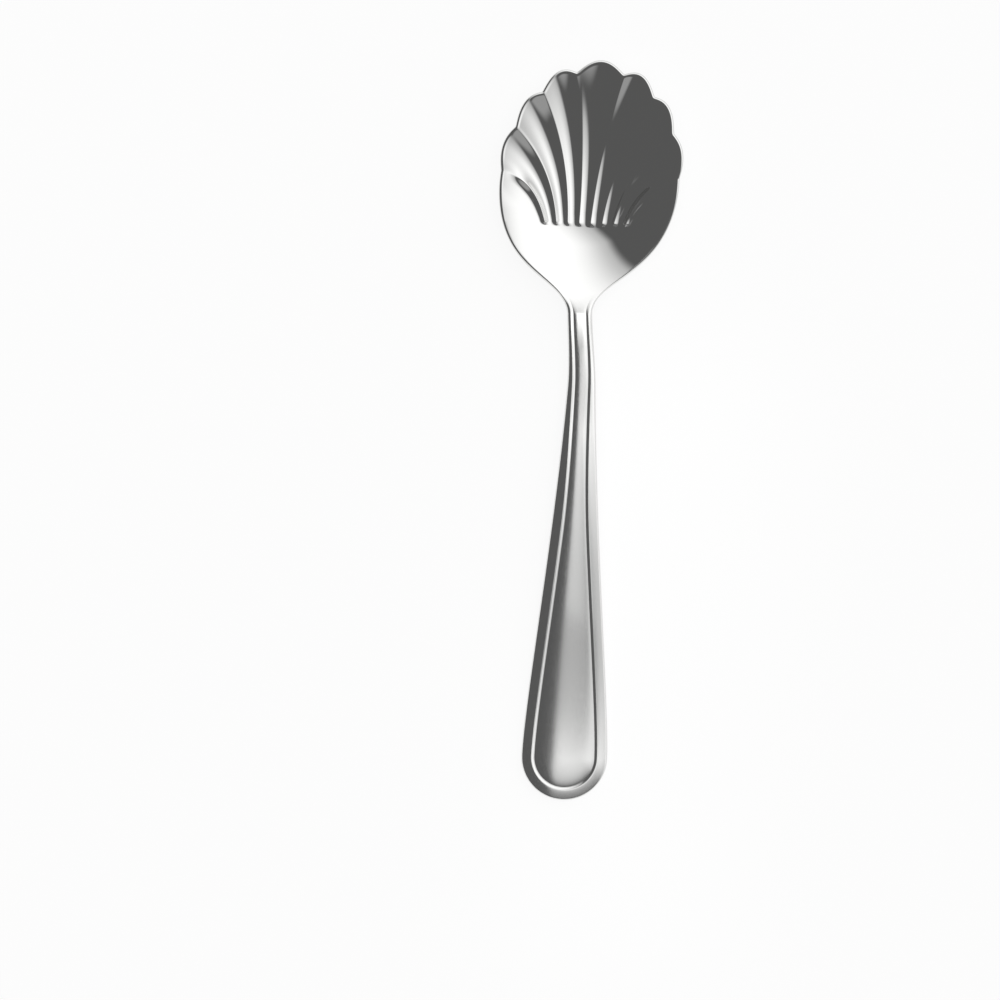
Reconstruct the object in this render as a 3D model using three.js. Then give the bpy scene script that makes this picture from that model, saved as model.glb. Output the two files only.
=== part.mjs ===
// Dessert spoon with a scallop-shell bowl, pressed from one stainless steel blank.
// Millimetres, +Z up. The spoon lies on a table at z = 0, with +Y towards the tip of the bowl,
// and the origin is on the table under the middle of its length.
// Two zones of the one pressing meet on a flat plane across the heel: the mirror-polished bowl, and the satin
// handle with its neck.

import * as THREE from "three";
import { mergeVertices } from "three/addons/utils/BufferGeometryUtils.js";

const { clamp, degToRad, lerp, smoothstep } = THREE.MathUtils;

// Dish of the bowl, seen from above and measured from its middle to its inner rim at the notches
const dishHalfWidth = 20.05;
const dishFrontReach = 25.95;
const dishDepth = 7.6;
const dishFullness = 2;
const dishDeepSetback = 6.4;
const dishHeelRun = 19;

// Lobes of the rim, and the flutes that run down from them between raised ridges
const sideLobes = 3;
const middleLobeAngle = degToRad(30.5);
const sideLobeAngle = degToRad(23.5);
const lobeReachTip = 2;
const lobeReachSide = 0.95;
const fluteSetback = 9.6;
const flutePitch = 2.62;
const ridgeStart = 0.24;
const ridgeRim = 0.95;
const ridgeGrowth = 1.4;
const ridgeSideGain = 1.2;
const ridgeRunIn = 1.2;
const outerFadeStart = 0.55;
const crestSoftness = 0.08;
const fanSpread = 1.28;
const outerSpread = 0.05;
const outerLift = 0.33;
const outerGathering = 6;
const fanBend = 0.57;

// Plain edge from the last notch to the neck
const cheekReach = 1.3;
const cheekDrop = 22.4;
const heelSetback = 24.9;
const neckSetback = 29.9;
const neckSweep = 9;
const neckWidth = 5.5;

// Lean of the bowl to the right of the handle's line: sideways travel for each step along,
// from where it starts on the neck, and how far ahead of the dish's middle the two lines cross
const bowlLean = 0.056;
const leanCrossing = 5.4;
const leanFullSetback = 16.4;
const leanStartSetback = 46.4;

// Handle, seen from above
const handleLength = 111.5;
const handleEndWidth = 19.5;
const neckTaper = 35.5;
const endTaper = 14;
const borderAtNeck = 1.3;
const borderAtEnd = 2.85;
const borderGrowth = 52;
const borderCrest = 0.75;
const borderRound = 1.25;
const borderFade = 6.5;

// Relief of the handle's upper side
const grooveDepth = 0.36;
const edgeDrop = 0.45;
const undersideLift = 0.35;
const undersideRound = 1;
const panelCrown = 0.075;
const shoulderRise = 0.02;
const shoulderPower = 8;

// Sheet thickness
const floorWall = 1.5;
const rimWall = 1;
const heelThickness = 2.6;
const neckThickness = 3;
const handleThickness = 2.2;
const heelBlend = 12;
const edgeBulge = 0.15;

// Side view: the stem rises from the heel to the arch, and comes down to lie flat at its end
const heelRise = -1.5;
const heelSlope = 0.28;
const heelCurl = 0.022;
const heelRounding = 4.5;
const archSetback = 56.4;
const archHeight = 8.4;
const footLength = 11;
const restFlatDepth = 0.3;

// How finely the curves are cut into facets
const stepsPerHalfLobe = 3;
const stepsPerCheek = 6;
const stepsAlongHeel = 7;
const stepsAlongFlute = 13;
const fluteStepGrading = 1.5;
const stepsAlongFlare = 4;
const stepsAlongHandle = 26;
const stepsRoundEnd = 20;
const borderShares = [0, 0.3, borderCrest, 0.86, 1];
const panelShares = [0.12, 0.28, 0.55, 1];

// Looks of the two finishes
const mirrorColor = 0xdcdcdb;
const mirrorRoughness = 0.08;
const satinColor = 0xcfcfcd;
const satinRoughness = 0.38;

// Places along the spoon
const rimOverhang = rimWall * 0.5 + edgeBulge;
const spoonLength = dishFrontReach + lobeReachTip + rimOverhang + neckSetback + handleLength;
const dishY = spoonLength / 2 - dishFrontReach - lobeReachTip - rimOverhang;
const deepY = dishY - dishDeepSetback;
const fluteStartY = dishY - fluteSetback;
const heelY = dishY - heelSetback;
const neckY = dishY - neckSetback;
const archY = dishY - archSetback;
const endRadius = handleEndWidth / 2;
const endMiddleY = -spoonLength / 2 + edgeBulge + endRadius;
const footY = -spoonLength / 2 + footLength;
const lastCrest = sideLobes + 0.5;

// Depth of a flute across the fan: 1 along its middle, where place is a whole number, and 0 on a crest
function fluteShape(place) {
  const wave = Math.hypot(Math.cos(Math.PI * place), crestSoftness);
  const top = Math.hypot(1, crestSoftness);
  return (wave - crestSoftness) / (top - crestSoftness);
}

// Scalloped rim: an ellipse through the notches, pushed out by the lobes
function scallopPoint(place) {
  const out = Math.abs(place);
  const beyond = Math.max(out - 0.5, 0);
  const angle = Math.sign(place) * (Math.min(out, 0.5) * middleLobeAngle + beyond * sideLobeAngle);
  const lobe = fluteShape(place);
  const across = (dishHalfWidth + lobeReachSide * lobe) * Math.sin(angle);
  const along = (dishFrontReach + lobeReachTip * lobe) * Math.cos(angle);
  return new THREE.Vector2(across, dishY + along);
}

// Plain edge on the right: from the last notch round the cheek and in to the neck
const lastNotch = scallopPoint(lastCrest);
const plainEdge = new THREE.CubicBezierCurve(
  lastNotch,
  new THREE.Vector2(lastNotch.x + cheekReach, lastNotch.y - cheekDrop),
  new THREE.Vector2(neckWidth / 2, neckY + neckSweep),
  new THREE.Vector2(neckWidth / 2, neckY),
);

// Side of the handle on the right: from the neck to the round end
const handleSide = new THREE.CubicBezierCurve(
  new THREE.Vector2(neckWidth / 2, neckY),
  new THREE.Vector2(neckWidth / 2, neckY - neckTaper),
  new THREE.Vector2(endRadius, endMiddleY + endTaper),
  new THREE.Vector2(endRadius, endMiddleY),
);

// Share of a falling curve at which it passes a height in the plan, by halving
function shareAtY(curve, y) {
  const halvings = 50;
  let before = 0;
  let after = 1;
  for (let step = 0; step < halvings; step += 1) {
    const middle = (before + after) / 2;
    if (curve.getPoint(middle).y > y) {
      before = middle;
    } else {
      after = middle;
    }
  }
  return after;
}

const cheekShare = shareAtY(plainEdge, fluteStartY);
const heelShare = shareAtY(plainEdge, heelY);
const widestPlace = plainEdge.getPoint(cheekShare).x / flutePitch;

// Rim at any place across the fan: lobes in the middle, then the plain cheeks
function rimPoint(place) {
  const out = Math.abs(place);
  if (out <= lastCrest) {
    return scallopPoint(place);
  }
  const point = plainEdge.getPoint((cheekShare * (out - lastCrest)) / (widestPlace - lastCrest));
  return new THREE.Vector2(Math.sign(place) * point.x, point.y);
}

// Line of one place in the fan, bent from the straight start of the flutes out to the rim
function fanLine(place) {
  const start = new THREE.Vector2(flutePitch * place, fluteStartY);
  const end = rimPoint(place);
  const out = Math.abs(place);
  const cheek = clamp((out - lastCrest) / (widestPlace - lastCrest), 0, 1);
  const gathered = Math.min(out / lastCrest, 1) ** outerGathering * (1 - cheek);
  const spread = lerp(fanSpread + outerSpread * gathered, 1, cheek);
  const lift = fanBend + outerLift * gathered;
  const bend = new THREE.Vector2(start.x * spread, lerp(start.y, end.y, lift));
  return new THREE.QuadraticBezierCurve(start, bend, end);
}

// Rise of the ridges above the smooth dish. They start higher at the sides, ease in, and grow to the rim.
// The last ridge on each side falls to the plain cheek, and dies out before the rim.
function ridgeRise(place, share, runLength) {
  const out = Math.abs(place);
  if (out >= lastCrest + 0.5) {
    return 0;
  }
  const start = ridgeStart * (1 + ridgeSideGain * Math.min(out / lastCrest, 1) ** 2);
  const height = lerp(start, ridgeRim, share ** ridgeGrowth) * smoothstep(runLength, 0, ridgeRunIn);
  const fade = smoothstep(out, sideLobes, lastCrest) * smoothstep(share, outerFadeStart, 1);
  return height * (1 - fluteShape(place)) * (1 - fade);
}

// How far out a point of the plan is in the dish: 0 at its deepest point, about 1 on the line of the notches
function dishRadius(x, y) {
  const reach = y > deepY ? dishFrontReach + dishDeepSetback : dishHeelRun;
  return Math.hypot(x / dishHalfWidth, (y - deepY) / reach);
}

// Inside of the smooth dish above its own lowest point
function dishRise(x, y) {
  return dishDepth * dishRadius(x, y) ** dishFullness;
}

// Height of the deepest point above the table: one wall, less the flat worn under it
const dishFloor = floorWall - restFlatDepth;
const heelHeight = dishFloor + dishDepth + heelRise;

// Upper side of the stem in side view: two cubics from the heel over the arch to the flat foot,
// and a parabola that curls up over the bowl
function stemHeight(y) {
  if (y > heelY) {
    const ahead = y - heelY;
    return heelHeight - heelSlope * ahead + heelCurl * ahead ** 2;
  }
  if (y > archY) {
    const share = (y - archY) / (heelY - archY);
    const drop = archHeight - heelHeight;
    const lean = heelSlope * (heelY - archY);
    return archHeight - (3 * drop - lean) * share ** 2 + (2 * drop - lean) * share ** 3;
  }
  return lerp(archHeight, handleThickness, smoothstep(archY - y, 0, archY - footY));
}

// Upper side of the smooth sheet: the lower of dish and stem, with a rounded passage between them
function sheetHeight(x, y) {
  const dish = dishFloor + dishRise(x, y);
  const stem = stemHeight(y);
  const near = Math.max(heelRounding - Math.abs(dish - stem), 0) / heelRounding;
  return Math.min(dish, stem) - (near * near * heelRounding) / 4;
}

// Upward normal of the smooth sheet. It stands upright at the heel, so that the two zones meet on a plane.
function sheetNormal(x, y) {
  const step = 0.01;
  const slopeX = (sheetHeight(x + step, y) - sheetHeight(x - step, y)) / (2 * step);
  const slopeY = (sheetHeight(x, y + step) - sheetHeight(x, y - step)) / (2 * step);
  const lean = smoothstep(y, heelY, heelY + heelBlend);
  return new THREE.Vector3(-slopeX * lean, -slopeY * lean, 1).normalize();
}

// Thickness of the bowl's sheet: thinner at the rim, and full at the heel
function bowlWall(x, y) {
  const wall = lerp(floorWall, rimWall, Math.min(dishRadius(x, y), 1) ** 2);
  return lerp(heelThickness, wall, smoothstep(y, heelY, heelY + heelBlend));
}

// Thickness of the stem and handle
function handleWall(y) {
  if (y > neckY) {
    return lerp(neckThickness, heelThickness, smoothstep(y, neckY, heelY));
  }
  return lerp(neckThickness, handleThickness, smoothstep(neckY - y, 0, neckY - footY));
}

// Width of the raised border: it grows from the neck and then stays
function borderWidth(y) {
  return lerp(borderAtNeck, borderAtEnd, smoothstep(neckY - y, 0, borderGrowth));
}

// Relief at an inset from the handle's edge: the border's rounded band, the groove, then the crowned panel
function handleRelief(inset, halfWidth, y) {
  const border = borderWidth(y);
  const crest = border * borderCrest;
  if (inset < crest) {
    return -edgeDrop * (1 - inset / crest) ** borderRound;
  }
  if (inset <= border) {
    return -grooveDepth * ((inset - crest) / (border - crest)) ** 2;
  }
  const panel = halfWidth - border;
  const out = 1 - (inset - border) / panel;
  const rise = panelCrown * (1 - out ** 2) + shoulderRise * (1 - out ** shoulderPower);
  return -grooveDepth + panel * rise;
}

// Point of the straight spoon moved sideways with the bowl's lean
function leaned(point) {
  const share = smoothstep(point.y, dishY - leanStartSetback, dishY - leanFullSetback);
  const shift = bowlLean * share * (point.y - dishY - leanCrossing);
  return new THREE.Vector3(point.x + shift, point.y, point.z);
}

// Closed mesh from an upper and a lower skin on the same grid. The rim runs anticlockwise round the edge,
// and the joint closes it across the flat meeting plane. Both are lists of [row, column].
function solidFromSkins(upper, lower, rim, joint) {
  const corners = [];
  const triangle = (a, b, c) => {
    if (!a.equals(b) && !b.equals(c) && !c.equals(a)) {
      corners.push(a, b, c);
    }
  };
  const quad = (a, b, c, d) => {
    triangle(a, b, c);
    triangle(a, c, d);
  };

  for (let row = 0; row + 1 < upper.length; row += 1) {
    for (let column = 0; column + 1 < upper[row].length; column += 1) {
      const next = column + 1;
      quad(upper[row][column], upper[row][next], upper[row + 1][next], upper[row + 1][column]);
      quad(lower[row][next], lower[row][column], lower[row + 1][column], lower[row + 1][next]);
    }
  }

  const top = rim.map(([row, column]) => upper[row][column]);
  const bottom = rim.map(([row, column]) => lower[row][column]);
  const last = rim.length - 1;
  const middle = top.map((point, index) => {
    const before = top[Math.max(index - 1, 0)];
    const after = top[Math.min(index + 1, last)];
    const outward = new THREE.Vector3(after.y - before.y, before.x - after.x, 0).normalize();
    if (index === 0 || index === last) {
      outward.set(Math.sign(point.x), 0, 0);
    }
    return point.clone().lerp(bottom[index], 0.5).addScaledVector(outward, edgeBulge);
  });
  for (let index = 0; index < last; index += 1) {
    const next = index + 1;
    quad(bottom[index], bottom[next], middle[next], middle[index]);
    quad(middle[index], middle[next], top[next], top[index]);
  }

  for (let index = 0; index + 1 < joint.length; index += 1) {
    const [row, column] = joint[index];
    const [nextRow, nextColumn] = joint[index + 1];
    const above = upper[nextRow][nextColumn];
    quad(lower[row][column], lower[nextRow][nextColumn], above, upper[row][column]);
  }
  triangle(middle[last], bottom[last], top[last]);
  triangle(middle[0], top[0], bottom[0]);

  const geometry = new THREE.BufferGeometry().setFromPoints(corners.map(leaned));
  const merged = mergeVertices(geometry);
  merged.computeVertexNormals();
  return merged;
}

// Places across the fan, from the left cheek over the lobes to the right cheek, with a line on every crest
function fanPlaces() {
  const right = [];
  for (let step = 0; step <= (2 * sideLobes + 1) * stepsPerHalfLobe; step += 1) {
    right.push(step / (2 * stepsPerHalfLobe));
  }
  for (let step = 1; step <= stepsPerCheek; step += 1) {
    right.push(lerp(lastCrest, widestPlace, step / stepsPerCheek));
  }
  const left = right.slice(1).reverse().map((place) => -place);
  return left.concat(right);
}

function bowlGeometry() {
  const places = fanPlaces();
  const upper = [];

  for (let row = 0; row <= stepsAlongHeel; row += 1) {
    const edge = plainEdge.getPoint(lerp(heelShare, cheekShare, row / stepsAlongHeel));
    const y = row === 0 ? heelY : edge.y;
    const points = places.map((place) => {
      const x = (place / widestPlace) * edge.x;
      return new THREE.Vector3(x, y, sheetHeight(x, y));
    });
    upper.push(points);
  }

  for (let row = 1; row <= stepsAlongFlute; row += 1) {
    const share = (row / stepsAlongFlute) ** fluteStepGrading;
    const points = places.map((place, column) => {
      if (column === 0 || column === places.length - 1) {
        return upper[stepsAlongHeel][column];
      }
      const line = fanLine(place);
      const point = line.getPoint(share);
      const rise = ridgeRise(place, share, point.distanceTo(line.v0));
      return new THREE.Vector3(point.x, point.y, sheetHeight(point.x, point.y) + rise);
    });
    upper.push(points);
  }

  const lower = upper.map((points) => points.map((point) => {
    const below = point.clone().addScaledVector(sheetNormal(point.x, point.y), -bowlWall(point.x, point.y));
    below.z = Math.max(below.z, 0);
    return below;
  }));

  const rightColumn = places.length - 1;
  const tipRow = upper.length - 1;
  const rim = [];
  for (let row = 0; row < stepsAlongHeel; row += 1) {
    rim.push([row, rightColumn]);
  }
  for (let column = rightColumn; column >= 0; column -= 1) {
    rim.push([tipRow, column]);
  }
  for (let row = stepsAlongHeel - 1; row >= 0; row -= 1) {
    rim.push([row, 0]);
  }
  const joint = places.map((place, column) => [0, column]);
  return solidFromSkins(upper, lower, rim, joint);
}

// Edge of the handle, anticlockwise from the left of the heel, each point with its place on the spine
function handleEdge() {
  const right = [];
  for (let step = stepsAlongHandle - 1; step >= 0; step -= 1) {
    right.push(handleSide.getPoint(step / stepsAlongHandle));
  }
  for (let step = 1; step <= stepsAlongFlare; step += 1) {
    right.push(plainEdge.getPoint(lerp(1, heelShare, step / stepsAlongFlare)));
  }
  right[right.length - 1].y = heelY;

  const onSpine = (edge) => ({ edge, spine: new THREE.Vector2(0, edge.y) });
  const left = right.slice().reverse().map((point) => new THREE.Vector2(-point.x, point.y));
  const round = [];
  for (let step = 0; step <= stepsRoundEnd; step += 1) {
    const angle = Math.PI * (1 + step / stepsRoundEnd);
    const edge = new THREE.Vector2(endRadius * Math.cos(angle), endMiddleY + endRadius * Math.sin(angle));
    round.push({ edge, spine: new THREE.Vector2(0, endMiddleY) });
  }
  return [...left.map(onSpine), ...round, ...right.map(onSpine)];
}

function handleGeometry() {
  const stations = handleEdge();
  const rowCount = borderShares.length + panelShares.length;
  const upper = Array.from({ length: rowCount }, () => []);
  const lower = Array.from({ length: rowCount }, () => []);

  for (const { edge, spine } of stations) {
    const halfWidth = edge.distanceTo(spine);
    const border = borderWidth(spine.y);
    const insets = borderShares.map((share) => share * border);
    insets.push(...panelShares.map((share) => lerp(border, halfWidth, share)));
    insets.forEach((inset, row) => {
      const plan = edge.clone().lerp(spine, inset / halfWidth);
      const relief = 1 - smoothstep(plan.y, heelY - borderFade, heelY);
      const sheet = sheetHeight(plan.x, plan.y);
      const top = sheet + relief * handleRelief(inset, halfWidth, spine.y);
      const lift = undersideLift * (1 - Math.min(inset / undersideRound, 1)) ** 2;
      const bottom = sheet - handleWall(plan.y) + relief * lift;
      upper[row].push(new THREE.Vector3(plan.x, plan.y, top));
      lower[row].push(new THREE.Vector3(plan.x, plan.y, bottom));
    });
  }

  const rightColumn = stations.length - 1;
  const rim = stations.map((station, column) => [0, column]);
  const joint = [];
  for (let row = 0; row < rowCount; row += 1) {
    joint.push([row, rightColumn]);
  }
  for (let row = rowCount - 2; row >= 0; row -= 1) {
    joint.push([row, 0]);
  }
  return solidFromSkins(upper, lower, rim, joint);
}

function namedMesh(name, geometry, color, roughness) {
  const material = new THREE.MeshStandardMaterial({ color, roughness, metalness: 1 });
  const mesh = new THREE.Mesh(geometry, material);
  mesh.name = name;
  return mesh;
}

const spoon = new THREE.Group();
spoon.add(namedMesh("bowl", bowlGeometry(), mirrorColor, mirrorRoughness));
spoon.add(namedMesh("handle", handleGeometry(), satinColor, satinRoughness));

// The leaning bowl reaches a little further to one side, so the whole spoon is moved back over the origin
const middle = new THREE.Box3().setFromObject(spoon).getCenter(new THREE.Vector3());
spoon.children.forEach((mesh) => mesh.geometry.translate(-middle.x, 0, 0));

export default spoon;
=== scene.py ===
import math

import bmesh
import bpy
import numpy as np
from mathutils import Matrix, Vector


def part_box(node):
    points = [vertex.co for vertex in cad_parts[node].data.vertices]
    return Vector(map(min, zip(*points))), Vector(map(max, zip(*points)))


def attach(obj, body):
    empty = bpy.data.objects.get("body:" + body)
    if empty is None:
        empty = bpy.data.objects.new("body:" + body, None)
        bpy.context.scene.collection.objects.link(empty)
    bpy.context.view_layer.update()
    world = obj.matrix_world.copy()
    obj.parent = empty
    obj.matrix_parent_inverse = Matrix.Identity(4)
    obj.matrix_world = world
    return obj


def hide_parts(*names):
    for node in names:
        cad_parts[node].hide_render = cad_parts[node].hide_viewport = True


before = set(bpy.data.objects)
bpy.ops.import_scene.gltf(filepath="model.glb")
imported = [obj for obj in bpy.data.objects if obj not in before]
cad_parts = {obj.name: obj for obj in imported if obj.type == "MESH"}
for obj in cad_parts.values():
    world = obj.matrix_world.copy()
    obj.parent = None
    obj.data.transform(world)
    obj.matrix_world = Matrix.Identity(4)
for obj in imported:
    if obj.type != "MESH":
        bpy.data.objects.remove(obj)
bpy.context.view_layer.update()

mm = 0.001  # shapes are worked out in millimetres, and meshes are stored in metres
slopeStep = 0.01  # millimetres to each side of a point when its slope is taken
curveStep = 0.0005  # share of a curve to each side of a point when its tangent is taken
mergeDistance = 0.0005  # millimetres, points closer than this are one
sharpAngle = math.radians(50)  # edges that turn more than this stay sharp
noiseRange = (0.3, 0.7)  # nearly all values of a noise texture lie between these
bowlLow, bowlHigh = (np.array(corner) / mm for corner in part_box("bowl"))
handleLow, handleHigh = (np.array(corner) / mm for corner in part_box("handle"))
print("frame: bowl from", bowlLow.round(2), "to", bowlHigh.round(2))

# Places along the spoon, +Y towards the tip of the bowl
heelY = handleHigh[1]  # flat plane where the mirror bowl meets the satin handle
endY = handleLow[1]
middleX = (handleLow[0] + handleHigh[0]) / 2  # line of the straight handle


# Straight blend: a at share 0, b at share 1
def mix(a, b, share):
    return a + (b - a) * share


# Smooth 0 to 1: three times the square less twice the cube of the share between low and high
def ease(value, low, high):
    share = np.clip((value - low) / (high - low), 0, 1)
    return share * share * (3 - 2 * share)


# Cubic curve through its two ends, pulled by the two points between them
def cubicCurve(points, share):
    a, b, c, d = (np.array(point)[:, None] for point in points)
    rest = 1 - share
    return a * rest**3 + 3 * b * rest**2 * share + 3 * c * rest * share**2 + d * share**3


# Unit normals of a plan curve that runs clockwise, so they point outwards: the tangent turned left
def outwardOf(before, after):
    tangent = after - before
    length = np.hypot(tangent[0], tangent[1])
    return np.stack([-tangent[1], tangent[0]]) / length


# Side view of the stem and its thickness
stem = {
    "archHeight": 8.4,  # top of the arch over the table
    "archSetback": 56.4,  # from the middle of the dish back to the arch
    "footLength": 11.0,  # flat stretch at the end of the handle
    "heelRise": -1.5,  # from the plain rim of the dish to the heel, which lies lower
    "heelSlope": 0.28,
    "heelCurl": 0.022,
    "heelRounding": 4.5,  # soft passage between stem and dish
    "heelThickness": 2.6,
    "neckThickness": 3.0,
    "handleThickness": 2.2,
    "heelBlend": 12.0,  # stretch over which the heel thins to the bowl's sheet
    "edgeInset": 0.3,  # where the round edge starts, inside the plan outline
    "edgeReach": 0.45,  # how far the round edge stands out from there
    "edgeSteps": 10,
}

bowl = {
    "heelSetback": 24.9,  # from the middle of the dish back to the heel plane
    "halfWidth": 20.05,  # middle of the dish to the notches of the rim
    "frontReach": 25.95,
    "depth": 7.6,
    "fullness": 2.0,
    "deepSetback": 6.4,  # the deepest point lies behind the middle
    "heelRun": 19.0,  # from there back to where the heel would reach the full depth
    "sideLobes": 3,
    "middleLobe": math.radians(30.5),
    "sideLobe": math.radians(23.5),
    "lobeTip": 2.0,  # how far the lobes stand out past the notches
    "lobeSide": 0.95,
    "fluteSetback": 9.6,  # flutes start this far behind the middle
    "flutePitch": 2.62,
    "ridgeStart": 0.4,  # height of the ridges between the flutes, where they start
    "ridgeRim": 0.95,  # their height where they meet the rim
    "ridgeGrowth": 1.4,
    "ridgeSideGain": 0.6,  # they start higher at the sides
    "ridgeRunIn": 1.2,
    "outerFadeStart": 0.55,  # the last ridges die out from this share of the way to the rim
    "crestSoftness": 0.08,
    "fanSpread": 1.28,
    "outerSpread": 0.05,
    "outerLift": 0.33,  # the outer ridges turn out later
    "outerGathering": 6,
    "fanBend": 0.57,
    "cheekReach": 1.3,
    "cheekDrop": 22.4,
    "neckSetback": 29.9,
    "neckSweep": 9.0,
    "neckWidth": 5.5,
    "lean": 0.056,  # sideways travel of the bowl for each step along it
    "leanCrossing": 5.4,  # its line crosses the handle's line this far ahead of the middle
    "leanFullSetback": 16.4,
    "leanStartSetback": 46.4,
    "floorWall": 1.5,
    "rimWall": 1.0,
    "restFlat": 0.3,  # worn flat under the dish
    "rimInset": 0.28,
    "columnsPerLobe": 32,
    "crestCrowding": 0.7,  # columns drawn together towards the crests
    "cheekColumns": 36,
    "cheekGrading": 1.8,
    "heelRows": 40,
    "fluteRows": 96,
    "rowGrading": 1.5,
    "edgeSamples": 20001,  # points along the plain edge when its shares are looked up
}

dishY = heelY + bowl["heelSetback"]
deepY = dishY - bowl["deepSetback"]
fluteStartY = dishY - bowl["fluteSetback"]
neckY = dishY - bowl["neckSetback"]
archY = dishY - stem["archSetback"]
footY = endY + stem["footLength"]
halfLobe = 0.5  # places across the fan are counted in lobes from its middle line
lastCrest = bowl["sideLobes"] + halfLobe


# Depth of a flute across the fan: a rounded |cos|, 1 along its middle and 0 on a crest
def fluteShape(place):
    soft = bowl["crestSoftness"]
    wave = np.hypot(np.cos(np.pi * place), soft)
    return (wave - soft) / (np.hypot(1, soft) - soft)


# Scalloped rim: an ellipse through the notches, pushed out by the lobes
def scallopRim(place):
    out = np.abs(place)
    beyond = np.maximum(out - halfLobe, 0)
    angle = np.sign(place) * (np.minimum(out, halfLobe) * bowl["middleLobe"] + beyond * bowl["sideLobe"])
    lobe = fluteShape(place)
    x = (bowl["halfWidth"] + bowl["lobeSide"] * lobe) * np.sin(angle)
    y = dishY + (bowl["frontReach"] + bowl["lobeTip"] * lobe) * np.cos(angle)
    return np.stack([x, y])


# Plain edge on the right: one cubic from the last notch round the cheek and in to the neck
def plainEdge(share):
    notchX, notchY = scallopRim(np.array(lastCrest))
    halfNeck = bowl["neckWidth"] / 2
    points = (
        (notchX, notchY),
        (notchX + bowl["cheekReach"], notchY - bowl["cheekDrop"]),
        (halfNeck, neckY + bowl["neckSweep"]),
        (halfNeck, neckY),
    )
    return cubicCurve(points, np.atleast_1d(share))


# Shares at which the falling plain edge passes the start of the flutes and the heel
edgeShares = np.linspace(0, 1, bowl["edgeSamples"])
edgeHeights = plainEdge(edgeShares)[1]
cheekShare = np.interp(-fluteStartY, -edgeHeights, edgeShares)
heelShare = np.interp(-heelY, -edgeHeights, edgeShares)
widestPlace = plainEdge(cheekShare)[0, 0] / bowl["flutePitch"]


# Rim at any place across the fan: the lobes, then the plain cheeks on both sides
def fanRim(place):
    out = np.abs(place)
    share = cheekShare * np.maximum(out - lastCrest, 0) / (widestPlace - lastCrest)
    cheek = plainEdge(share)
    cheek[0] *= np.sign(place)
    return np.where(out <= lastCrest, scallopRim(place), cheek)


# How far out a point is in the dish: 0 at its deepest point, about 1 on the line of the notches
def dishRadius(x, y):
    reach = np.where(y > deepY, bowl["frontReach"] + bowl["deepSetback"], bowl["heelRun"])
    return np.hypot(x / bowl["halfWidth"], (y - deepY) / reach)


# Rise of the ridges above the smooth dish: higher at the start of the outer ones, eased in, and growing
# to the rim as a power of the share. The last ridge on each side falls to the plain cheek, and dies out
# before the rim.
def ridgeRise(place, share, run):
    out = np.abs(place)
    start = bowl["ridgeStart"] * (1 + bowl["ridgeSideGain"] * np.minimum(out / lastCrest, 1) ** 2)
    full = mix(start, bowl["ridgeRim"], share ** bowl["ridgeGrowth"])
    height = full * ease(run, 0, bowl["ridgeRunIn"])
    fade = ease(out, bowl["sideLobes"], lastCrest) * ease(share, bowl["outerFadeStart"], 1)
    return np.where(out < lastCrest + halfLobe, height * (1 - fluteShape(place)) * (1 - fade), 0)


# Lines of the fan: a quadratic from the straight start of the flutes, bent out to the rim
def fanLines(place, share, startX, rim):
    out = np.abs(place)
    cheek = np.clip((out - lastCrest) / (widestPlace - lastCrest), 0, 1)
    gathered = np.minimum(out / lastCrest, 1) ** bowl["outerGathering"] * (1 - cheek)
    bendX = startX * mix(bowl["fanSpread"] + bowl["outerSpread"] * gathered, 1, cheek)
    bendY = mix(fluteStartY, rim[1], bowl["fanBend"] + bowl["outerLift"] * gathered)
    rest = 1 - share
    x = startX * rest**2 + 2 * bendX * rest * share + rim[0] * share**2
    y = fluteStartY * rest**2 + 2 * bendY * rest * share + rim[1] * share**2
    return x, y


dishFloor = bowl["floorWall"] - bowl["restFlat"]  # deepest point over the table
heelHeight = dishFloor + bowl["depth"] + stem["heelRise"]


# Upper side of the stem: a parabola over the bowl, a cubic from heel to arch, an ease down to the foot
def stemHeight(y):
    ahead = y - heelY
    overBowl = heelHeight - stem["heelSlope"] * ahead + stem["heelCurl"] * ahead**2
    share = (y - archY) / (heelY - archY)
    drop = stem["archHeight"] - heelHeight
    lean = stem["heelSlope"] * (heelY - archY)
    rising = stem["archHeight"] - (3 * drop - lean) * share**2 + (2 * drop - lean) * share**3
    falling = mix(stem["archHeight"], stem["handleThickness"], ease(archY - y, 0, archY - footY))
    return np.where(y > heelY, overBowl, np.where(y > archY, rising, falling))


# Upper side of the smooth sheet: the lower of dish and stem, less a quadratic where they come near
def sheetHeight(x, y):
    dish = dishFloor + bowl["depth"] * dishRadius(x, y) ** bowl["fullness"]
    other = stemHeight(y)
    near = np.maximum(stem["heelRounding"] - np.abs(dish - other), 0) / stem["heelRounding"]
    return np.minimum(dish, other) - near**2 * stem["heelRounding"] / 4


# Upward normal of the sheet by central differences, upright at the heel and leaning in past it
def sheetNormal(x, y):
    lean = ease(y, heelY, heelY + stem["heelBlend"])
    riseX = sheetHeight(x + slopeStep, y) - sheetHeight(x - slopeStep, y)
    riseY = sheetHeight(x, y + slopeStep) - sheetHeight(x, y - slopeStep)
    slopeX = riseX / (2 * slopeStep) * lean
    slopeY = riseY / (2 * slopeStep) * lean
    length = np.sqrt(slopeX**2 + slopeY**2 + 1)
    return np.stack([-slopeX, -slopeY, np.ones_like(slopeX)], axis=-1) / length[..., None]


# Thickness of the bowl's sheet: from the floor to the thinner rim, and full at the heel
def bowlWall(x, y):
    wall = mix(bowl["floorWall"], bowl["rimWall"], np.minimum(dishRadius(x, y), 1) ** 2)
    return mix(stem["heelThickness"], wall, ease(y, heelY, heelY + stem["heelBlend"]))


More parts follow.
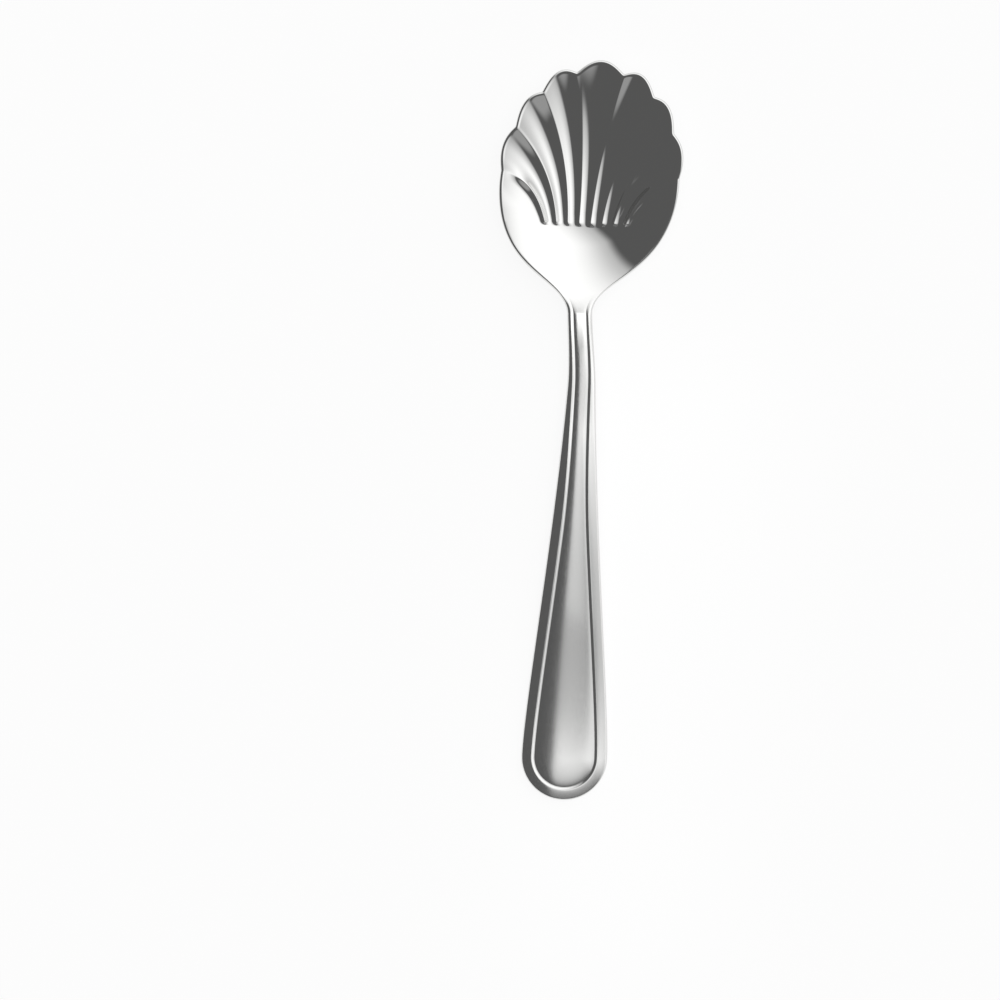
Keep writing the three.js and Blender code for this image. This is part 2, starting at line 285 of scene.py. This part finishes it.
# Round edge: half an ellipse from the upper to the lower skin, standing out along the sheet
def roundEdge(upper, lower, outward):
    turn = np.linspace(0, np.pi, stem["edgeSteps"] + 1)[:, None, None]
    middle = (upper + lower) / 2
    halfWall = (upper - lower) / 2
    up = halfWall / np.linalg.norm(halfWall, axis=-1, keepdims=True)
    along = np.concatenate([outward.T, np.zeros((len(upper), 1))], axis=1)
    along -= up * (along * up).sum(axis=-1, keepdims=True)
    along /= np.linalg.norm(along, axis=-1, keepdims=True)
    return middle + halfWall * np.cos(turn) + along * (stem["edgeReach"] * np.sin(turn))


# Points of the straight spoon moved sideways with the bowl's lean: lean times the distance past the
# crossing, eased in along the neck
def leaned(points):
    y = points[..., 1]
    share = ease(y, dishY - bowl["leanStartSetback"], dishY - bowl["leanFullSetback"])
    moved = points.copy()
    moved[..., 0] += middleX + bowl["lean"] * share * (y - dishY - bowl["leanCrossing"])
    return moved


# One mesh from grids of points whose borders coincide, and loops of points that close it
def meshFromGrids(name, grids, loops):
    points = []
    quads = []
    start = 0
    for grid in grids:
        rows, columns = grid.shape[:2]
        index = start + np.arange(rows * columns).reshape(rows, columns)
        corners = (index[:-1, :-1], index[:-1, 1:], index[1:, 1:], index[1:, :-1])
        quads.append(np.stack(corners, axis=-1).reshape(-1, 4))
        points.append(grid.reshape(-1, 3))
        start += rows * columns
    faces = np.concatenate(quads).tolist()
    for loop in loops:
        faces.append(list(range(start, start + len(loop))))
        points.append(loop)
        start += len(loop)
    mesh = bpy.data.meshes.new(name)
    mesh.from_pydata((np.concatenate(points) * mm).tolist(), [], faces)
    merged = bmesh.new()
    merged.from_mesh(mesh)
    bmesh.ops.remove_doubles(merged, verts=merged.verts, dist=mergeDistance * mm)
    merged.to_mesh(mesh)
    merged.free()
    mesh.polygons.foreach_set("use_smooth", np.ones(len(mesh.polygons), dtype=bool))
    mesh.set_sharp_from_angle(angle=sharpAngle)
    mesh.update()
    piece = bpy.data.objects.new(name, mesh)
    bpy.context.scene.collection.objects.link(piece)
    return piece


# Columns of the fan: crest to crest in every lobe, drawn together at the crests, then the two cheeks
def fanPlaces():
    turn = np.arange(bowl["columnsPerLobe"]) / bowl["columnsPerLobe"]
    lobe = turn - bowl["crestCrowding"] * np.sin(2 * np.pi * turn) / (2 * np.pi)
    lobes = np.arange(-lastCrest, lastCrest)[:, None] + lobe
    cheekShares = np.linspace(0, 1, bowl["cheekColumns"] + 1) ** bowl["cheekGrading"]
    cheek = mix(lastCrest, widestPlace, cheekShares)
    return np.concatenate([-cheek[:0:-1], lobes.ravel(), cheek])


# Loop round the flat face of one piece at the heel: along the upper skin, down one edge, back below
def heelLoop(upper, rightEdge, lower, leftEdge):
    return np.concatenate([upper[:-1], rightEdge[:-1], lower[::-1][:-1], leftEdge[::-1][:-1]])


# Edge of one skin of the bowl: along the left of the heel rows, round the rim, back along the right
def skinEdge(skin, heelRows):
    return np.concatenate([skin[:heelRows, 0], skin[-1], skin[:heelRows, -1][::-1]])


# Shell bowl: rows of constant y from the heel to the flutes, then rows along the lines of the fan.
# The lower skin lies one wall thickness along the normal below the upper, and is flat on the table.
def makeBowl():
    place = fanPlaces()
    heelRows = bowl["heelRows"]
    share = mix(heelShare, cheekShare, np.linspace(0, 1, heelRows + 1))
    edge = plainEdge(share)
    edge[1, 0] = heelY
    heelOut = outwardOf(plainEdge(share - curveStep), plainEdge(share + curveStep))
    inset = mix(stem["edgeInset"], bowl["rimInset"], ease(edge[1], heelY, fluteStartY))
    heelX = (edge[0] - inset / heelOut[0])[:, None] * place / widestPlace
    heelRowY = np.repeat(edge[1][:, None], len(place), axis=1)

    rimOut = outwardOf(fanRim(place - curveStep), fanRim(place + curveStep))
    rim = fanRim(place) - bowl["rimInset"] * rimOut
    along = (np.arange(1, bowl["fluteRows"] + 1) / bowl["fluteRows"])[:, None] ** bowl["rowGrading"]
    fanX, fanY = fanLines(place, along, heelX[-1], rim)
    ends = [0, -1]
    fanX[:, ends] = heelX[-1, ends]
    fanY[:, ends] = fluteStartY
    run = np.hypot(fanX - heelX[-1], fanY - fluteStartY)

    x = np.concatenate([heelX, fanX])
    y = np.concatenate([heelRowY, fanY])
    z = sheetHeight(x, y)
    z[len(heelX):] += ridgeRise(place, along, run)
    upper = np.stack([x, y, z], axis=-1)
    lower = upper - sheetNormal(x, y) * bowlWall(x, y)[..., None]
    lower[..., 2] = np.maximum(lower[..., 2], 0)

    rightOut = heelOut[:, :heelRows]
    leftOut = np.stack([-rightOut[0], rightOut[1]])
    outward = np.concatenate([leftOut, rimOut, rightOut[:, ::-1]], axis=1)
    edgeGrid = roundEdge(skinEdge(upper, heelRows), skinEdge(lower, heelRows), outward)
    cap = heelLoop(upper[0], edgeGrid[:, -1], lower[0], edgeGrid[:, 0])
    grids = [leaned(grid) for grid in (upper, lower[::-1], edgeGrid)]
    return meshFromGrids("shellBowl", grids, [leaned(cap[::-1])])


handle = {
    "endRadius": 9.75,  # round end, seen from above
    "endOverhang": 0.15,  # the solid's edge stands out this far past the round end
    "neckTaper": 35.5,
    "endTaper": 14.0,
    "borderAtNeck": 1.3,  # width of the raised border
    "borderAtEnd": 2.85,
    "borderGrowth": 52.0,
    "crestAtNeck": 0.5,  # share of the border's width at its highest line
    "crestAtEnd": 0.75,
    "borderRound": 1.25,  # nearly flat bevel outside that line
    "borderFade": 6.5,  # the relief fades out over this stretch before the heel
    "reliefRunIn": 46.0,  # from the faint relief at the neck to the full relief
    "grooveAtNeck": 0.14,
    "grooveAtEnd": 0.36,
    "edgeDrop": 0.45,
    "undersideLift": 0.35,
    "undersideRound": 1.0,
    "panelCrown": 0.075,
    "shoulderRise": 0.02,
    "shoulderPower": 8,
    "neckShoulder": 4,  # the same at the neck, where the panel is level with the border
    "flareColumns": 18,
    "sideColumns": 130,
    "endColumns": 72,
    "borderRows": 30,
    "panelRows": 26,
    "panelGrading": 1.4,
}
endMiddleY = endY + handle["endOverhang"] + handle["endRadius"]


# Width of the raised border: it grows from the neck and then stays
def borderWidth(y):
    return mix(handle["borderAtNeck"], handle["borderAtEnd"], ease(neckY - y, 0, handle["borderGrowth"]))


# Relief at an inset from the edge: the border falls to the edge as a bevel and into the groove as a
# parabola, and the panel rises from the groove as a parabola with rounded shoulders. At the neck the
# groove is shallower, and the panel rises to the level of the border.
def handleRelief(inset, y, halfWidth, border):
    grown = ease(neckY - y, 0, handle["reliefRunIn"])
    groove = mix(handle["grooveAtNeck"], handle["grooveAtEnd"], grown)
    crest = border * mix(handle["crestAtNeck"], handle["crestAtEnd"], grown)
    outside = -handle["edgeDrop"] * np.clip(1 - inset / crest, 0, None) ** handle["borderRound"]
    inside = -groove * ((inset - crest) / (border - crest)) ** 2
    panel = halfWidth - border
    out = np.clip(1 - (inset - border) / panel, 0, 1)
    shoulder = handle["shoulderRise"] * (1 - out ** handle["shoulderPower"])
    crownRise = panel * (handle["panelCrown"] * (1 - out**2) + shoulder)
    levelRise = groove * (1 - out ** handle["neckShoulder"])
    crown = -groove + mix(levelRise, crownRise, grown)
    return np.where(inset < crest, outside, np.where(inset <= border, inside, crown))


# Thickness of the stem: neck to heel, and neck to the end of the handle
def handleWall(y):
    toHeel = mix(stem["neckThickness"], stem["heelThickness"], ease(y, neckY, heelY))
    toEnd = mix(stem["neckThickness"], stem["handleThickness"], ease(neckY - y, 0, neckY - footY))
    return np.where(y > neckY, toHeel, toEnd)


# Outline of the handle, clockwise from the right of the heel, with each point's place on the spine
def handleOutline():
    halfNeck = bowl["neckWidth"] / 2
    radius = handle["endRadius"]
    points = (
        (halfNeck, neckY),
        (halfNeck, neckY - handle["neckTaper"]),
        (radius, endMiddleY + handle["endTaper"]),
        (radius, endMiddleY),
    )
    flareShare = mix(heelShare, 1, np.linspace(0, 1, handle["flareColumns"] + 1))
    sideShare = np.linspace(0, 1, handle["sideColumns"] + 1)[1:-1]
    flare = plainEdge(flareShare)
    flare[1, 0] = heelY
    flareOut = outwardOf(plainEdge(flareShare - curveStep), plainEdge(flareShare + curveStep))
    side = cubicCurve(points, sideShare)
    sideBefore = cubicCurve(points, sideShare - curveStep)
    sideAfter = cubicCurve(points, sideShare + curveStep)
    sideOut = outwardOf(sideBefore, sideAfter)
    edge = np.concatenate([flare, side], axis=1)
    out = np.concatenate([flareOut, sideOut], axis=1)
    edge[0] -= stem["edgeInset"] / out[0]
    spine = np.stack([np.zeros_like(edge[1]), edge[1]])

    turn = np.linspace(0, -np.pi, handle["endColumns"] + 1)
    endOut = np.stack([np.cos(turn), np.sin(turn)])
    middle = np.array([[0], [endMiddleY]])
    endEdge = middle + (radius - stem["edgeInset"]) * endOut
    endSpine = np.repeat(middle, len(turn), axis=1)

    mirror = np.array([[-1], [1]])
    edge = np.concatenate([edge, endEdge, (edge * mirror)[:, ::-1]], axis=1)
    spine = np.concatenate([spine, endSpine, spine[:, ::-1]], axis=1)
    out = np.concatenate([out, endOut, (out * mirror)[:, ::-1]], axis=1)
    return edge, spine, out


# Row of one skin of the handle across the heel, from left to right
def acrossHeel(skin):
    return np.concatenate([skin[:, -1], skin[::-1, 0][1:]])


# Handle: rows step in from the outline to the spine, close together over the border
def makeHandle():
    edge, spine, out = handleOutline()
    start = stem["edgeInset"]
    halfWidth = np.hypot(*(edge - spine)) + start
    border = borderWidth(spine[1])
    borderShare = np.linspace(0, 1, handle["borderRows"] + 1)[:, None]
    panelShare = np.linspace(0, 1, handle["panelRows"] + 1)[1:, None] ** handle["panelGrading"]
    inset = np.concatenate([mix(start, border, borderShare), mix(border, halfWidth, panelShare)])
    towards = (inset - start) / (halfWidth - start)
    x = mix(edge[0], spine[0], towards)
    y = mix(edge[1], spine[1], towards)

    fade = 1 - ease(y, heelY - handle["borderFade"], heelY)
    sheet = sheetHeight(x, y)
    lift = handle["undersideLift"] * np.clip(1 - inset / handle["undersideRound"], 0, 1) ** 2
    upper = np.stack([x, y, sheet + fade * handleRelief(inset, y, halfWidth, border)], axis=-1)
    lower = np.stack([x, y, sheet - handleWall(y) + fade * lift], axis=-1)
    edgeGrid = roundEdge(upper[0], lower[0], out)
    cap = heelLoop(acrossHeel(upper), edgeGrid[:, 0], acrossHeel(lower), edgeGrid[:, -1])
    grids = [leaned(grid) for grid in (upper[::-1], lower, edgeGrid)]
    return meshFromGrids("satinHandle", grids, [leaned(cap)])


bowlPiece = makeBowl()
print("bowl:", len(bowlPiece.data.polygons), "faces")
handlePiece = makeHandle()
print("handle:", len(handlePiece.data.polygons), "faces")


# Linear colour from an sRGB hex value
def linearColour(hexValue):
    levels = np.array([hexValue >> shift & 255 for shift in (16, 8, 0)]) / 255
    linear = np.where(levels <= 0.04045, levels / 12.92, ((levels + 0.055) / 1.055) ** 2.4)
    return (*linear, 1.0)


# One node with its settings, and its inputs set or linked
def addNode(tree, kind, inputs=None, **settings):
    node = tree.nodes.new(kind)
    for name, value in settings.items():
        setattr(node, name, value)
    for socket, value in (inputs or {}).items():
        if isinstance(value, bpy.types.NodeSocket):
            tree.links.new(value, node.inputs[socket])
        else:
            node.inputs[socket].default_value = value
    return node


# New material with an empty node tree
def newMaterial(name):
    material = bpy.data.materials.new(name)
    material.use_nodes = True
    material.node_tree.nodes.clear()
    return material, material.node_tree


mirrorSteel = {
    "colour": 0xE2E2E1,
    "roughness": (0.035, 0.075),
    "hazeSize": 7.0,  # millimetres across a patch of polishing haze
    "hazeDetail": 4.0,
}

satinSteel = {
    "colour": (0xDEDEDD, 0xE6E6E5),  # duller and clearer strands of the grain
    "roughness": (0.155, 0.2),
    "grainWidth": 0.3,  # true grain is about 0.05 mm, drawn coarser so that it shows
    "grainLength": 1.2,
    "grainDetail": 3.0,
    "grainDepth": 0.0002,  # millimetres, as the sizes above
    "polish": (-3.5, 0.2),  # from the heel plane, stretch over which the satin gives way to the polish
}


# Mirror-polished stainless steel, buffed on soft wheels: a clear image with a faint uneven haze
def mirrorStainless():
    material, tree = newMaterial("mirror-polished stainless")
    place = addNode(tree, "ShaderNodeTexCoord")
    haze = addNode(tree, "ShaderNodeTexNoise", {
        "Vector": place.outputs["Object"],
        "Scale": 1 / (mirrorSteel["hazeSize"] * mm),
        "Detail": mirrorSteel["hazeDetail"],
    })
    low, high = mirrorSteel["roughness"]
    gloss = addNode(tree, "ShaderNodeMapRange", {
        "Value": haze.outputs["Fac"],
        "From Min": noiseRange[0],
        "From Max": noiseRange[1],
        "To Min": low,
        "To Max": high,
    })
    steel = addNode(tree, "ShaderNodeBsdfPrincipled", {
        "Base Color": linearColour(mirrorSteel["colour"]),
        "Metallic": 1.0,
        "Roughness": gloss.outputs["Result"],
    })
    addNode(tree, "ShaderNodeOutputMaterial", {"Surface": steel.outputs["BSDF"]})
    return material


# Satin stainless steel, brushed lengthwise with fine abrasive: a soft sheen with a fine straight grain,
# which gives way to the polish at the heel
def satinStainless():
    material, tree = newMaterial("satin-brushed stainless")
    place = addNode(tree, "ShaderNodeTexCoord")
    across = 1 / (satinSteel["grainWidth"] * mm)
    lengthwise = 1 / (satinSteel["grainLength"] * mm)
    stretched = addNode(tree, "ShaderNodeMapping", {
        "Vector": place.outputs["Object"],
        "Scale": (across, lengthwise, across),
    })
    grain = addNode(tree, "ShaderNodeTexNoise", {
        "Vector": stretched.outputs["Vector"],
        "Scale": 1.0,
        "Detail": satinSteel["grainDetail"],
    })
    apart = addNode(tree, "ShaderNodeSeparateXYZ", {"Vector": place.outputs["Object"]})
    satin = addNode(tree, "ShaderNodeMapRange", {
        "Value": apart.outputs["Y"],
        "From Min": (heelY + satinSteel["polish"][0]) * mm,
        "From Max": (heelY + satinSteel["polish"][1]) * mm,
        "To Min": 1.0,
        "To Max": 0.0,
    }, interpolation_type="SMOOTHSTEP")
    low, high = satinSteel["roughness"]
    brushed = addNode(tree, "ShaderNodeMapRange", {
        "Value": grain.outputs["Fac"],
        "From Min": noiseRange[0],
        "From Max": noiseRange[1],
        "To Min": low,
        "To Max": high,
    })
    gloss = addNode(tree, "ShaderNodeMix", {
        "Factor": satin.outputs["Result"],
        "A": sum(mirrorSteel["roughness"]) / 2,
        "B": brushed.outputs["Result"],
    })
    dull, clear = satinSteel["colour"]
    tone = addNode(tree, "ShaderNodeMix", {
        "Factor": grain.outputs["Fac"],
        "A": linearColour(dull),
        "B": linearColour(clear),
    }, data_type="RGBA")
    bump = addNode(tree, "ShaderNodeBump", {
        "Height": grain.outputs["Fac"],
        "Strength": satin.outputs["Result"],
        "Distance": satinSteel["grainDepth"] * mm,
    })
    steel = addNode(tree, "ShaderNodeBsdfPrincipled", {
        "Base Color": tone.outputs["Result"],
        "Metallic": 1.0,
        "Roughness": gloss.outputs["Result"],
        "Normal": bump.outputs["Normal"],
    })
    addNode(tree, "ShaderNodeOutputMaterial", {"Surface": steel.outputs["BSDF"]})
    return material


bowlPiece.data.materials.append(mirrorStainless())
handlePiece.data.materials.append(satinStainless())
pieces = (
    (bowlPiece, "bowl", "mirror_steel"),
    (handlePiece, "handle", "satin_steel"),
)
for piece, node, slotName in pieces:
    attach(piece, "root")
    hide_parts(node)
print("materials: mirror bowl and satin handle")

studio = {
    "brightSide": (0.688, 0.725, 0.0),  # level direction towards the bright half of the room
    "dark": 0.115,
    "edge": (0.05, 0.2, 0.45),  # first rise into that half: cosine from, cosine to, and how much it adds
    "wall": (0.08, 0.62, 0.8),  # slower rise towards the middle of the bright wall
    "wallFoot": 0.4,  # the bright half is dimmer near the floor
    "wallTop": (0.05, 0.55, 0.6),  # rise from there to the full level higher up
    "glowSide": (0.35, -0.94, 0.1),
    "glow": (0.785, 0.86, 0.26),  # dimmer pale patch low in the room behind the handle
    "floorWidth": 12000.0,
    "floorDrop": 0.02,  # just under the flats that the spoon rests on
    "floorColour": 0xF6F6F6,
    "floorShadow": 0.12,  # share of the floor's look that takes the shadow
    "lampSize": 1500.0,
    "lampHeight": 2000.0,
    "lampPower": 16.0,
}

# Soft boxes in a row low over the handle, from the neck to the end, with a dimmer one before the last
softBoxes = {
    "width": 48.0,
    "height": 60.0,
    "spread": math.radians(70),  # narrow enough to stay out of the bowl
    "turn": math.radians(-4.4),
    "row": {
        "neckBox": {"middle": (18.0, 33.5), "length": 25.0, "tilt": math.radians(-25), "power": 0.00056},
        "stemBox": {"middle": (20.6, -18.5), "length": 79.0, "tilt": 0.0, "power": 0.00162},
        "dimBox": {"middle": (16.8, -67.0), "length": 18.0, "tilt": 0.0, "power": 0.00023},
        "endBox": {"middle": (14.3, -100.5), "length": 49.0, "tilt": 0.0, "power": 0.00107},
    },
}


# Plain pale floor, a square grid of four faces. It is white to the eye and in the metal, and keeps a shadow.
def makeFloor():
    half = studio["floorWidth"] / 2
    line = np.linspace(-half, half, 3)
    x, y = np.meshgrid(line, line)
    points = np.stack([x, y, np.full_like(x, -studio["floorDrop"])], axis=-1)
    floor = meshFromGrids("floor", [points], [])
    material, tree = newMaterial("matt white paper")
    ray = addNode(tree, "ShaderNodeLightPath")
    seen = addNode(tree, "ShaderNodeMath", {
        0: ray.outputs["Is Camera Ray"],
        1: ray.outputs["Is Glossy Ray"],
    }, operation="MAXIMUM")
    seenThrough = addNode(tree, "ShaderNodeMath", {
        0: seen.outputs["Value"],
        1: ray.outputs["Is Transmission Ray"],
    }, operation="MAXIMUM")
    share = addNode(tree, "ShaderNodeMath", {
        0: seenThrough.outputs["Value"],
        1: 1 - studio["floorShadow"],
    }, operation="MULTIPLY")
    paper = addNode(tree, "ShaderNodeBsdfDiffuse", {"Color": linearColour(studio["floorColour"])})
    white = addNode(tree, "ShaderNodeEmission", {"Strength": 1.0})
    mixed = addNode(tree, "ShaderNodeMixShader", {
        0: share.outputs["Value"],
        1: paper.outputs["BSDF"],
        2: white.outputs["Emission"],
    })
    addNode(tree, "ShaderNodeOutputMaterial", {"Surface": mixed.outputs["Shader"]})
    floor.data.materials.append(material)


# Level added by one part of the room: it rises smoothly with the direction's cosine to that part
def roomLevel(tree, direction, towards, rise):
    side = addNode(tree, "ShaderNodeVectorMath", {
        0: direction,
        1: Vector(towards).normalized(),
    }, operation="DOT_PRODUCT")
    return addNode(tree, "ShaderNodeMapRange", {
        "Value": side.outputs["Value"],
        "From Min": rise[0],
        "From Max": rise[1],
        "To Max": rise[2],
    }, interpolation_type="SMOOTHSTEP").outputs["Result"]


# Soft studio light: one half of the room is a bright wall, dimmer near the floor, and the other is dark.
# The level is the bright wall times its rise with height, plus the pale patch and the level of the dark.
def lightRoom():
    world = bpy.data.worlds.new("studio")
    bpy.context.scene.world = world
    world.use_nodes = True
    tree = world.node_tree
    tree.nodes.clear()
    place = addNode(tree, "ShaderNodeTexCoord")
    direction = place.outputs["Generated"]
    edge = roomLevel(tree, direction, studio["brightSide"], studio["edge"])
    wall = roomLevel(tree, direction, studio["brightSide"], studio["wall"])
    upwards = roomLevel(tree, direction, (0, 0, 1), studio["wallTop"])
    glow = roomLevel(tree, direction, studio["glowSide"], studio["glow"])
    bright = addNode(tree, "ShaderNodeMath", {0: edge, 1: wall}, operation="ADD")
    height = addNode(tree, "ShaderNodeMath", {0: upwards, 1: studio["wallFoot"]}, operation="ADD")
    brightHalf = addNode(tree, "ShaderNodeMath", {
        0: height.outputs["Value"],
        1: bright.outputs["Value"],
    }, operation="MULTIPLY")
    withGlow = addNode(tree, "ShaderNodeMath", {
        0: brightHalf.outputs["Value"],
        1: glow,
    }, operation="ADD")
    level = addNode(tree, "ShaderNodeMath", {
        0: withGlow.outputs["Value"],
        1: studio["dark"],
    }, operation="ADD")
    light = addNode(tree, "ShaderNodeBackground", {
        "Color": (1, 1, 1, 1),
        "Strength": level.outputs["Value"],
    })
    addNode(tree, "ShaderNodeOutputWorld", {"Surface": light.outputs["Background"]})

    lamp = bpy.data.lights.new("soft overhead lamp", "AREA")
    lamp.shape = "DISK"
    lamp.size = studio["lampSize"] * mm
    lamp.energy = studio["lampPower"]
    overhead = bpy.data.objects.new("soft overhead lamp", lamp)
    overhead.location.z = studio["lampHeight"] * mm
    overhead.visible_glossy = False
    bpy.context.scene.collection.objects.link(overhead)

    for name, values in softBoxes["row"].items():
        box = bpy.data.lights.new(name, "AREA")
        box.shape = "RECTANGLE"
        box.size = softBoxes["width"] * mm
        box.size_y = values["length"] * mm
        box.spread = softBoxes["spread"]
        box.energy = values["power"]
        softBox = bpy.data.objects.new(name, box)
        softBox.location = Vector((*values["middle"], softBoxes["height"])) * mm
        softBox.rotation_euler = (values["tilt"], 0, softBoxes["turn"])
        bpy.context.scene.collection.objects.link(softBox)


photoView = {
    "frame": 1000,  # pixels across the photograph
    "pixelSize": 0.2287,  # millimetres of spoon in a pixel
    "originPixel": (579.55, 430.5),  # where the middle of the spoon's length lies in the photograph
    "turn": math.radians(2.59),  # the spoon leans this far to the right
    "height": 8.0,  # mean height of the spoon over the table
    "lens": 180.0,
    "sensor": 36.0,
}


# Camera straight above the spoon, turned and set off so that the spoon lies where the photograph has it
def placeCamera():
    right = Vector((math.cos(photoView["turn"]), math.sin(photoView["turn"]), 0))
    up = Vector((-right.y, right.x, 0))
    away = Vector((0, 0, 1))
    middle = photoView["frame"] / 2
    offRight = (middle - photoView["originPixel"][0]) * photoView["pixelSize"]
    offUp = (photoView["originPixel"][1] - middle) * photoView["pixelSize"]
    distance = photoView["lens"] / photoView["sensor"] * photoView["frame"] * photoView["pixelSize"]
    place = right * offRight + up * offUp + away * (distance + photoView["height"])
    data = bpy.data.cameras.new("camera")
    data.lens = photoView["lens"]
    data.sensor_width = photoView["sensor"]
    camera = bpy.data.objects.new("camera", data)
    turned = Matrix((right, up, away)).transposed().to_4x4()
    camera.matrix_world = Matrix.Translation(place * mm) @ turned
    bpy.context.scene.collection.objects.link(camera)
    bpy.context.scene.camera = camera


makeFloor()
lightRoom()
placeCamera()
bpy.context.scene.view_settings.view_transform = "Standard"
print("stage: floor, light and camera")
